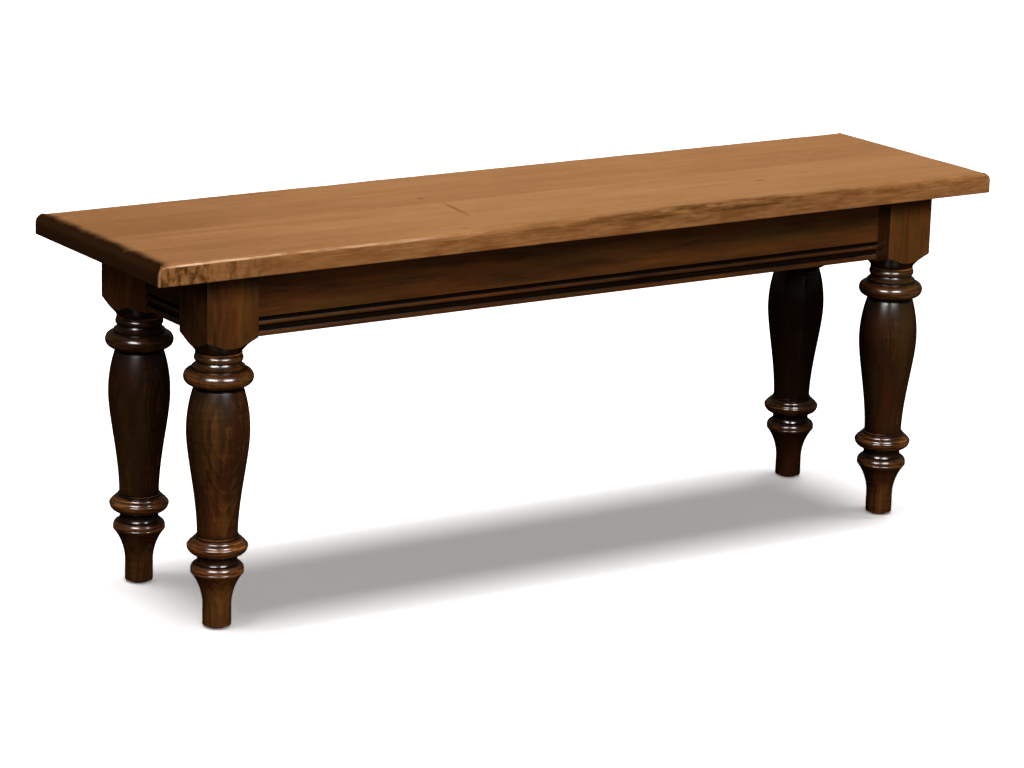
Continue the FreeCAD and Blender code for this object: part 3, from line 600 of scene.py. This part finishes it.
def worn_board(index):
    """A board cut to its CAD node's box, its outer upper edges rounded by hand."""
    low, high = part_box(f"seat_board_{index}")
    size = high - low
    middle = (low + high) / 2
    mesh = bmesh.new()
    bmesh.ops.create_cube(mesh, size=1.0, matrix=Matrix.LocRotScale(middle, None, size))
    corners = [v for v in mesh.verts if rim_gap(v.co)[0] < -MM]
    outer = [e for e in mesh.edges if all(v in corners for v in e.verts)]
    uprights = [e for e in outer if e.verts[0].co.xy == e.verts[1].co.xy]
    if uprights:
        bmesh.ops.bevel(
            mesh, geom=uprights, offset=CORNER_RADIUS, offset_type="OFFSET", affect="EDGES",
            segments=5, profile=0.5, material=-1,
        )
    for height, radius, segments in ((high.z, EVEN_RADIUS, 9), (low.z, LOWER_ARRIS, 2)):
        rim = []
        for edge in mesh.edges:
            centre = (edge.verts[0].co + edge.verts[1].co) / 2
            level = all(abs(v.co.z - height) < SEAM for v in edge.verts)
            if level and rim_gap(centre)[0] < MM:
                rim.append(edge)
        bmesh.ops.bevel(
            mesh, geom=rim, offset=radius, offset_type="OFFSET", affect="EDGES",
            segments=segments, profile=0.5, material=-1,
        )
    for axis, start, length in ((0, low.x, size.x), (1, low.y, size.y)):
        normal = Vector((axis == 0, axis == 1, 0))
        count = round(length / CUT_SPACING)
        for step in range(1, count):
            point = middle.copy()
            point[axis] = start + length * step / count
            bmesh.ops.bisect_plane(
                mesh, geom=[*mesh.verts, *mesh.edges, *mesh.faces], plane_co=point, plane_no=normal
            )
    for vert in mesh.verts:
        gap, way = rim_gap(vert.co)
        drop = high.z - vert.co.z
        if drop > size.z - ARRIS_REACH or gap > ROUNDING_REACH:
            continue
        radius = hand_radius(vert.co)
        moved = []
        for distance, reach in ((gap, ROUNDING_REACH), (drop, size.z - ARRIS_REACH)):
            if distance < EVEN_RADIUS:
                moved.append(distance * radius / EVEN_RADIUS)
            else:
                beyond = (distance - EVEN_RADIUS) / (reach - EVEN_RADIUS)
                moved.append(radius + beyond * (reach - radius))
        vert.co += way * (gap - moved[0])
        vert.co.z = high.z - moved[1]
    return mesh


def stained_seat(name, heart, tone_shift):
    """Maple stained light brown under satin lacquer: long fine streaks, cloudy stain, dark
    end grain with painted shade creeping over the rounded ends, a pale arris of wear and painted
    highlight, a painted highlight on two corners, glaze caught on the front edge, a dent and a
    few flecks."""
    material, tree, shader, place = start_material(name)
    grain = add(
        tree, "Mapping", {0: place, "Location": heart, "Rotation": (0, math.pi / 2, 0)},
        vector_type="TEXTURE",
    )

    # Fibre, flecks, streaks, clouds and curl of the wood, darker to the left
    fibre_way = add(tree, "VectorMath", {0: grain, 1: (1, 1, 0.02)}, operation="MULTIPLY")
    fibre = add(tree, "TexNoise", {"Vector": fibre_way, "Scale": 1 / SEAT_FIBRE_WIDTH, "Detail": 4.0})
    streak_way = add(tree, "VectorMath", {0: grain, 1: (1, 1, 0.04)}, operation="MULTIPLY")
    streak = add(tree, "TexNoise", {"Vector": streak_way, "Scale": 1 / SEAT_STREAK_WIDTH, "Detail": 3.0})
    long_way = add(tree, "VectorMath", {0: grain, 1: (1, 1, 0.25)}, operation="MULTIPLY")
    cloud = add(tree, "TexNoise", {"Vector": long_way, "Scale": 1 / SEAT_CLOUD_WIDTH, "Detail": 3.0})
    curl_way = add(tree, "VectorMath", {0: grain, 1: (0.35, 0.35, 1)}, operation="MULTIPLY")
    curl = add(tree, "TexNoise", {"Vector": curl_way, "Scale": 1 / SEAT_CURL_WIDTH, "Detail": 2.0})
    fleck_way = add(tree, "VectorMath", {0: grain, 1: (1, 1, 0.12)}, operation="MULTIPLY")
    fleck = add(tree, "TexNoise", {"Vector": fleck_way, "Scale": 1 / SEAT_FLECK_WIDTH, "Detail": 3.0})
    fleck_tone = add(tree, "Math", {0: fleck, 1: 0.5, 2: tone_shift - 0.25}, operation="MULTIPLY_ADD")
    fibre_tone = add(tree, "Math", {0: fibre, 1: 0.3, 2: fleck_tone}, operation="MULTIPLY_ADD")
    streak_tone = add(tree, "Math", {0: streak, 1: 0.5, 2: fibre_tone}, operation="MULTIPLY_ADD")
    curl_tone = add(tree, "Math", {0: curl, 1: 0.15, 2: streak_tone}, operation="MULTIPLY_ADD")
    tone = add(tree, "Math", {0: cloud, 1: 0.45, 2: curl_tone}, operation="MULTIPLY_ADD")
    where = add(tree, "SeparateXYZ", {0: place})
    along = where.outputs["X"]
    darker_to_left = add(
        tree, "MapRange",
        {"Value": along, "From Min": DARKER_TO_LEFT[0], "From Max": DARKER_TO_LEFT[1], "To Max": 0.3},
    )
    left_tone = add(tree, "Math", {0: tone, 1: darker_to_left}, operation="ADD")
    depth = add(tree, "MapRange", {"Value": left_tone, "From Min": 0.75, "From Max": 1.55})
    plain = add(
        tree, "Mix", {"Factor": depth, "A": linear(SEAT_LIGHT), "B": linear(SEAT_BROWN)},
        data_type="RGBA",
    )

    # The front edge: an uneven brown band that turns to dark mottle at the far left
    facing = add(tree, "SeparateXYZ", {0: add(tree, "NewGeometry").outputs["Normal"]})
    mottle_way = add(tree, "VectorMath", {0: place, 1: (1, 1, 0.6)}, operation="MULTIPLY")
    mottle = add(
        tree, "TexNoise",
        {"Vector": mottle_way, "Scale": 1 / MOTTLE_WIDTH, "Detail": 6.0, "Roughness": 0.7},
    )
    blotch_way = add(tree, "VectorMath", {0: place, 1: (0.16, 1, 1)}, operation="MULTIPLY")
    blotch = add(
        tree, "TexNoise",
        {"Vector": blotch_way, "Scale": 1 / BLOTCH_WIDTH, "Detail": 6.0, "Roughness": 0.6},
    )
    front = add(tree, "MapRange", {"Value": facing.outputs["Y"], "From Min": -0.25, "From Max": -0.8})
    far_left = add(
        tree, "MapRange", {"Value": along, "From Min": MOTTLED[0], "From Max": MOTTLED[1]}
    )
    streaky = add(tree, "Math", {0: fleck, 1: 0.7, 2: blotch}, operation="MULTIPLY_ADD")
    spread = add(
        tree, "MapRange",
        {"Value": streaky, "From Min": 0.68, "From Max": 1.02, "To Min": 0.4, "To Max": 1.0},
    )
    fresh = add(tree, "MapRange", {"Value": far_left, "To Min": 1.0, "To Max": 0.2})
    fresh_spread = add(tree, "Math", {0: spread, 1: fresh}, operation="MULTIPLY")
    band_share = add(tree, "Math", {0: front, 1: fresh_spread}, operation="MULTIPLY")
    banded = add(
        tree, "Mix", {"Factor": band_share, "A": plain, "B": linear(SEAT_BAND)}, data_type="RGBA"
    )
    patches = add(tree, "MapRange", {"Value": mottle, "From Min": 0.43, "From Max": 0.6, "To Max": 0.9})
    left_front = add(tree, "Math", {0: front, 1: far_left}, operation="MULTIPLY")
    mottle_share = add(tree, "Math", {0: left_front, 1: patches}, operation="MULTIPLY")
    mottled = add(
        tree, "Mix", {"Factor": mottle_share, "A": banded, "B": linear(SEAT_MOTTLE)}, data_type="RGBA"
    )

    # The arris above the band, pale in patches to the left: wear, and a painted highlight
    to_left = add(tree, "MapRange", {"Value": along, "From Min": PALE_ARRIS[0], "From Max": PALE_ARRIS[1]})
    below_top = add(tree, "MapRange", {"Value": facing.outputs["Z"], "From Min": 0.9, "From Max": 0.7})
    above_band = add(tree, "MapRange", {"Value": facing.outputs["Z"], "From Min": 0.3, "From Max": 0.5})
    on_arris = add(tree, "Math", {0: below_top, 1: above_band}, operation="MULTIPLY")
    left_arris = add(tree, "Math", {0: on_arris, 1: to_left}, operation="MULTIPLY")
    patchy = add(tree, "MapRange", {"Value": blotch, "From Min": 0.42, "From Max": 0.64, "To Max": 1.0})
    worn_and_highlight_share = add(tree, "Math", {0: left_arris, 1: patchy}, operation="MULTIPLY")
    arris_worn_and_lit = add(
        tree, "Mix", {"Factor": worn_and_highlight_share, "A": mottled, "B": linear(SEAT_WORN_AND_HIGHLIGHT)}, data_type="RGBA"
    )

    # Dark glaze smeared along the arris to the right, in pools that thin out near the end
    to_right = add(tree, "MapRange", {"Value": along, "From Min": GLAZED[0], "From Max": GLAZED[1]})
    smeared = add(
        tree, "Math", {0: blotch, 1: -SMEAR_REACH, 2: where.outputs["Y"]}, operation="MULTIPLY_ADD"
    )
    near_front = add(
        tree, "MapRange",
        {"Value": smeared, "From Min": cad_low.y + FRONT_GLAZE[0],
         "From Max": cad_low.y + FRONT_GLAZE[1]},
    )
    off_band = add(tree, "MapRange", {"Value": facing.outputs["Z"], "From Min": -0.02, "From Max": 0.25})
    edge_zone = add(tree, "Math", {0: near_front, 1: off_band}, operation="MULTIPLY")
    right_edge = add(tree, "Math", {0: edge_zone, 1: to_right}, operation="MULTIPLY")
    pools = add(
        tree, "MapRange",
        {"Value": blotch, "From Min": 0.34, "From Max": 0.58, "To Min": 0.3, "To Max": 1.0},
    )
    thinned = add(
        tree, "MapRange",
        {"Value": along, "From Min": THINNED[0], "From Max": THINNED[1], "To Min": 1.0, "To Max": 0.35},
    )
    thin_edge = add(tree, "Math", {0: right_edge, 1: thinned}, operation="MULTIPLY")
    glaze_share = add(tree, "Math", {0: thin_edge, 1: pools}, operation="MULTIPLY")
    glazed = add(
        tree, "Mix", {"Factor": glaze_share, "A": arris_worn_and_lit, "B": linear(SEAT_GLAZE)}, data_type="RGBA"
    )

    # End grain that drank the stain, and painted shade that creeps ragged from it over the rounded
    # ends, furthest at the left and darkest where the rounding faces up
    aside = add(tree, "Math", {0: along}, operation="ABSOLUTE")
    creep_way = add(tree, "VectorMath", {0: place, 1: (0.5, 1, 0.5)}, operation="MULTIPLY")
    creep = add(
        tree, "TexNoise",
        {"Vector": creep_way, "Scale": 1 / CREEP_WIDTH, "Detail": 6.0, "Roughness": 0.72},
    )
    ragged = add(tree, "Math", {0: creep, 1: CREEP_REACH, 2: aside}, operation="MULTIPLY_ADD")
    left_shade_reach = add(
        tree, "MapRange",
        {"Value": along, "From Min": LEFT_SHADE_CREEP[0], "From Max": LEFT_SHADE_CREEP[1],
         "To Max": LEFT_SHADE_REACH},
    )
    shade_crept = add(tree, "Math", {0: ragged, 1: left_shade_reach}, operation="ADD")
    end_grain_and_shade_share = add(
        tree, "MapRange",
        {"Value": shade_crept, "From Min": cad_high.x + END_GRAIN_AND_SHADE[0], "From Max": cad_high.x + END_GRAIN_AND_SHADE[1]},
        interpolation_type="SMOOTHSTEP",
    )
    off_front = add(tree, "MapRange", {"Value": front, "To Min": 1.0, "To Max": 0.0})
    end_grain_and_shade = add(tree, "Math", {0: end_grain_and_shade_share, 1: off_front}, operation="MULTIPLY")
    rim_shade = add(tree, "MapRange", {"Value": facing.outputs["Z"], "From Max": 0.9})
    end_grain_and_rim_shade = add(
        tree, "Mix", {"Factor": rim_shade, "A": linear(SEAT_END), "B": linear(SEAT_RIM_SHADE)}, data_type="RGBA"
    )
    ended = add(
        tree, "Mix", {"Factor": end_grain_and_shade, "A": glazed, "B": end_grain_and_rim_shade}, data_type="RGBA"
    )
    # A painted highlight down the front left and back right upright corners, in the worn pale colour
    both_ways = add(tree, "Math", {0: facing.outputs["X"], 1: facing.outputs["Y"]}, operation="MULTIPLY")
    painted_corner_highlight = add(
        tree, "MapRange", {"Value": both_ways, "From Min": 0.3, "From Max": 0.48, "To Max": 0.3}
    )
    colour = add(
        tree, "Mix", {"Factor": painted_corner_highlight, "A": ended, "B": linear(SEAT_WORN_AND_HIGHLIGHT)}, data_type="RGBA"
    )

    # Satin lacquer, sunk into the end grain and the glaze. The socket also holds its plain level.
    # An export only keeps the socket's value.
    dull = add(tree, "Math", {0: end_grain_and_shade_share, 1: glaze_share}, operation="MAXIMUM")
    lacquer = add(tree, "MapRange", {"Value": dull, "To Min": 0.2, "To Max": 0.0})
    shader.inputs["Specular IOR Level"].default_value = 0.2
    tree.links.new(lacquer.outputs[0], shader.inputs["Specular IOR Level"])

    # The dent and the flecks, and the fibre's own relief
    relief = fibre
    for spot, half_length, half_width, turn in SEAT_MARKS:
        frame_of_mark = add(
            tree, "Mapping",
            {0: place, "Location": (*spot, cad_high.z), "Rotation": (0, 0, turn),
             "Scale": (half_length, half_width, MARK_DEPTH)},
            vector_type="TEXTURE",
        )
        away = add(tree, "VectorMath", {0: frame_of_mark}, operation="LENGTH")
        inside = add(
            tree, "MapRange",
            {"Value": away.outputs["Value"], "From Min": 1.0, "From Max": 0.3, "To Max": 0.6},
            interpolation_type="SMOOTHSTEP",
        )
        colour = add(
            tree, "Mix", {"Factor": inside, "A": colour.outputs[2], "B": linear(SEAT_MARK)},
            data_type="RGBA",
        )
        relief = add(tree, "Math", {0: inside, 1: -3.0, 2: relief}, operation="MULTIPLY_ADD")
    pores = add(tree, "Bump", {"Height": relief, "Distance": SEAT_PORE_DEPTH, "Strength": 0.4})
    tree.links.new(colour.outputs[2], shader.inputs["Base Color"])
    tree.links.new(pores.outputs[0], shader.inputs["Normal"])
    shader.inputs["Roughness"].default_value = 0.42
    return material


BOARD_COUNT = sum(name.startswith("seat_board_") for name in frame["nodes"])
for index in range(1, BOARD_COUNT + 1):
    low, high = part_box(f"seat_board_{index}")
    # Each board was sawn elsewhere, so its heart lies at another place below it.
    heart = (low + high) / 2 + Vector((0, 20 * index - 50, -120 - 30 * (index % 3))) * MM
    wood = stained_seat(f"stained_maple_board_{index}", heart, BOARD_TONES[index])
    board = worn_board(index)
    finish_piece(board, f"worn_board_{index}", f"seat_board_{index}", wood)


# Wood screws and glide nails
# Screws hold the braces to the aprons, and rail and buttons to the seat; a nail holds each glide.
# Cold-headed steel, zinc-plated: bright, but dulled by crystals, drawn coarser than they are.
ZINC_CRYSTAL = 1.5 * MM
ZINC_GREY = "#B9B7AE"
ZINC_PALE = "#D8D4C6"
zinc, tree, shader, place = start_material("zinc_plated_steel")
crystals = add(tree, "TexNoise", {"Vector": place, "Scale": 1 / ZINC_CRYSTAL, "Detail": 3.0})
sheen = add(tree, "MapRange", {"Value": crystals, "To Min": 0.25, "To Max": 0.5})
plating = add(
    tree, "Mix", {"Factor": crystals, "A": linear(ZINC_GREY), "B": linear(ZINC_PALE)}, data_type="RGBA"
)
tree.links.new(plating.outputs[2], shader.inputs["Base Color"])
tree.links.new(sheen.outputs[0], shader.inputs["Roughness"])
shader.inputs["Metallic"].default_value = 1.0
for name in ("brace_screws", "button_screws", "rail_screws", "glide_nails"):
    fasteners = frame["nodes"][name]
    fasteners.data.materials.clear()
    fasteners.data.materials.append(zinc)


# Glides
# Brown nylon discs nailed under the feet, so that the bench slides without marking the floor. The
# mould's spark texture, drawn coarser than it is, leaves them dull.
SPARK_GRIT = 0.6 * MM
SPARK_DEPTH = 0.05 * MM
NYLON_DARK = "#2B2320"
NYLON_BROWN = "#352B26"
nylon, tree, shader, place = start_material("moulded_nylon")
spark = add(tree, "TexNoise", {"Vector": place, "Scale": 1 / SPARK_GRIT, "Detail": 2.0})
tint = add(
    tree, "Mix", {"Factor": spark, "A": linear(NYLON_DARK), "B": linear(NYLON_BROWN)}, data_type="RGBA"
)
grit = add(tree, "Bump", {"Height": spark, "Distance": SPARK_DEPTH, "Strength": 0.5})
tree.links.new(tint.outputs[2], shader.inputs["Base Color"])
tree.links.new(grit.outputs[0], shader.inputs["Normal"])
shader.inputs["Roughness"].default_value = 0.55
for corner in LEG_SAWING:
    glide = frame["nodes"][f"glide_{corner}"]
    glide.data.materials.clear()
    glide.data.materials.append(nylon)


# Floor
# A wide white floor, pure white outside the shadow, that throws back a grey floor's light. Over it
# lies a black cloth that only shows in the lacquer, as photographers use to keep dark wood dark.
FLOOR_RADIUS = 40.0
CLOTH_LIFT = 1 * MM
OVER_EXPOSED = (2.9, 2.9, 2.9, 1.0)
FLOOR_GLOW = 0.22
GLOW_WHITE = "#FFFBFA"
BOUNCE_GREY = "#5A5856"
CLOTH_BLACK = "#080706"


def lay_out(name, radius, lift):
    """A round sheet on the stage, and the empty tree of its material."""
    mesh = bmesh.new()
    bmesh.ops.create_circle(mesh, cap_ends=True, segments=96, radius=radius)
    bmesh.ops.translate(mesh, verts=mesh.verts, vec=(0, 0, lift))
    data = bpy.data.meshes.new(name)
    mesh.to_mesh(data)
    mesh.free()
    sheet = bpy.data.objects.new(name, data)
    bpy.context.scene.collection.objects.link(sheet)
    sheet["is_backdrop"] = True
    material = bpy.data.materials.new(name)
    material.use_nodes = True
    material.node_tree.nodes.clear()
    data.materials.append(material)
    return sheet, material.node_tree


floor, tree = lay_out("white_floor", FLOOR_RADIUS, 0)
path = add(tree, "LightPath")
matt = add(tree, "BsdfDiffuse", {"Color": OVER_EXPOSED})
glow = add(tree, "Emission", {"Color": linear(GLOW_WHITE), "Strength": FLOOR_GLOW})
white = add(tree, "AddShader", {0: matt, 1: glow})
grey = add(tree, "BsdfDiffuse", {"Color": linear(BOUNCE_GREY)})
mixed = add(tree, "MixShader", {0: path.outputs["Is Diffuse Ray"], 1: white, 2: grey})
add(tree, "OutputMaterial", {"Surface": mixed})

cloth, tree = lay_out("black_cloth", FLOOR_RADIUS, CLOTH_LIFT)
black = add(tree, "BsdfDiffuse", {"Color": linear(CLOTH_BLACK)})
add(tree, "OutputMaterial", {"Surface": black})
cloth.visible_camera = False
cloth.visible_diffuse = False
cloth.visible_transmission = False
cloth.visible_shadow = False


# Studio light
# Four softboxes overhead cast the shadow. Those at the front and left and two reflectors, all
# flagged off the floor, light the sides. Two lamp heads only show as highlights in the lacquer.
WORLD_GREY = "#D8D4D0"
WORLD_WHITE = "#FFFFFF"


def aim(bearing, elevation):
    """The turn of a lamp that shines from a bearing, right of the front, and an elevation."""
    return Matrix.Rotation(math.radians(bearing), 4, "Z") @ Matrix.Rotation(
        math.radians(90 - elevation), 4, "X"
    )


def softbox(name, bearing, elevation, strength, angle):
    """An even light, as wide as an angle in degrees, that lacquer doesn't show."""
    lamp = bpy.data.lights.new(name, "SUN")
    lamp.energy = strength * math.pi
    lamp.angle = math.radians(angle)
    holder = bpy.data.objects.new(name, lamp)
    holder.matrix_world = aim(bearing, elevation)
    holder.visible_glossy = False
    bpy.context.scene.collection.objects.link(holder)
    return holder


def lamp_head(name, bearing, elevation, distance, width, height, radiance):
    """A lamp that shows in lacquer and lights nothing else."""
    lamp = bpy.data.lights.new(name, "AREA")
    lamp.shape = "RECTANGLE"
    lamp.size = width
    lamp.size_y = height
    lamp.energy = radiance * math.pi * width * height
    holder = bpy.data.objects.new(name, lamp)
    holder.matrix_world = aim(bearing, elevation) @ Matrix.Translation((0, 0, distance))
    holder.visible_diffuse = False
    bpy.context.scene.collection.objects.link(holder)
    return holder


def flag(name, shaded):
    """A group of objects that the lamps given it leave out."""
    group = bpy.data.collections.new(name)
    for thing in shaded:
        group.objects.link(thing)
    for member in group.collection_objects:
        member.light_linking.link_state = "EXCLUDE"
    return group


for bearing in (-110, -70, 70, 110):
    softbox(f"overhead_softbox_{bearing}", bearing, elevation=75.6, strength=0.125, angle=16)
boards = [bpy.data.objects[f"worn_board_{index}"] for index in range(1, BOARD_COUNT + 1)]
off_floor = flag("off_floor", [floor])
off_floor_and_seat = flag("off_floor_and_seat", [floor, *boards])
for name, bearing, elevation, strength, angle, flagged in (
    ("front_softbox", -4, 38, 0.68, 30, off_floor),
    ("front_reflector", -8, 8, 0.2, 40, off_floor),
    ("back_reflector", 165, 25, 0.22, 60, off_floor),
    ("left_softbox", -95, 45, 0.2, 30, off_floor_and_seat),
):
    holder = softbox(name, bearing, elevation, strength, angle)
    holder.light_linking.receiver_collection = flagged
for name, bearing in (("left_lamp_head", -56), ("right_lamp_head", -4)):
    holder = lamp_head(
        name, bearing, elevation=37, distance=3.0, width=1.25, height=0.95, radiance=42
    )
    holder.light_linking.receiver_collection = off_floor_and_seat

world = bpy.data.worlds.new("studio")
bpy.context.scene.world = world
world.use_nodes = True
tree = world.node_tree
tree.nodes.clear()
path = add(tree, "LightPath")
dim = add(tree, "Background", {"Color": linear(WORLD_GREY), "Strength": 0.1})
white = add(tree, "Background", {"Color": linear(WORLD_WHITE), "Strength": 1.0})
seen = add(tree, "MixShader", {0: path.outputs["Is Camera Ray"], 1: dim, 2: white})
add(tree, "OutputWorld", {"Surface": seen})


# Camera
# A long lens at head height, to the left of the bench's front. Its turns are in radians: to the
# right of straight ahead, down from level, and about its own axis.
IMAGE_WIDTH = 1024
FOCAL_PIXELS = 3667.9
EYE = Vector((-2.49224, -3.72884, 1.39113))
YAW = 0.5847
PITCH = 0.2571
ROLL = 0.0286
lens = bpy.data.cameras.new("camera")
lens.sensor_width = 36
lens.lens = FOCAL_PIXELS / IMAGE_WIDTH * lens.sensor_width
camera = bpy.data.objects.new("camera", lens)
camera.matrix_world = (
    Matrix.Translation(EYE)
    @ Matrix.Rotation(-YAW, 4, "Z")
    @ Matrix.Rotation(math.pi / 2 - PITCH, 4, "X")
    @ Matrix.Rotation(ROLL, 4, "Z")
)
bpy.context.scene.collection.objects.link(camera)
bpy.context.scene.camera = camera
bpy.context.scene.view_settings.view_transform = "Standard"

low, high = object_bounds()
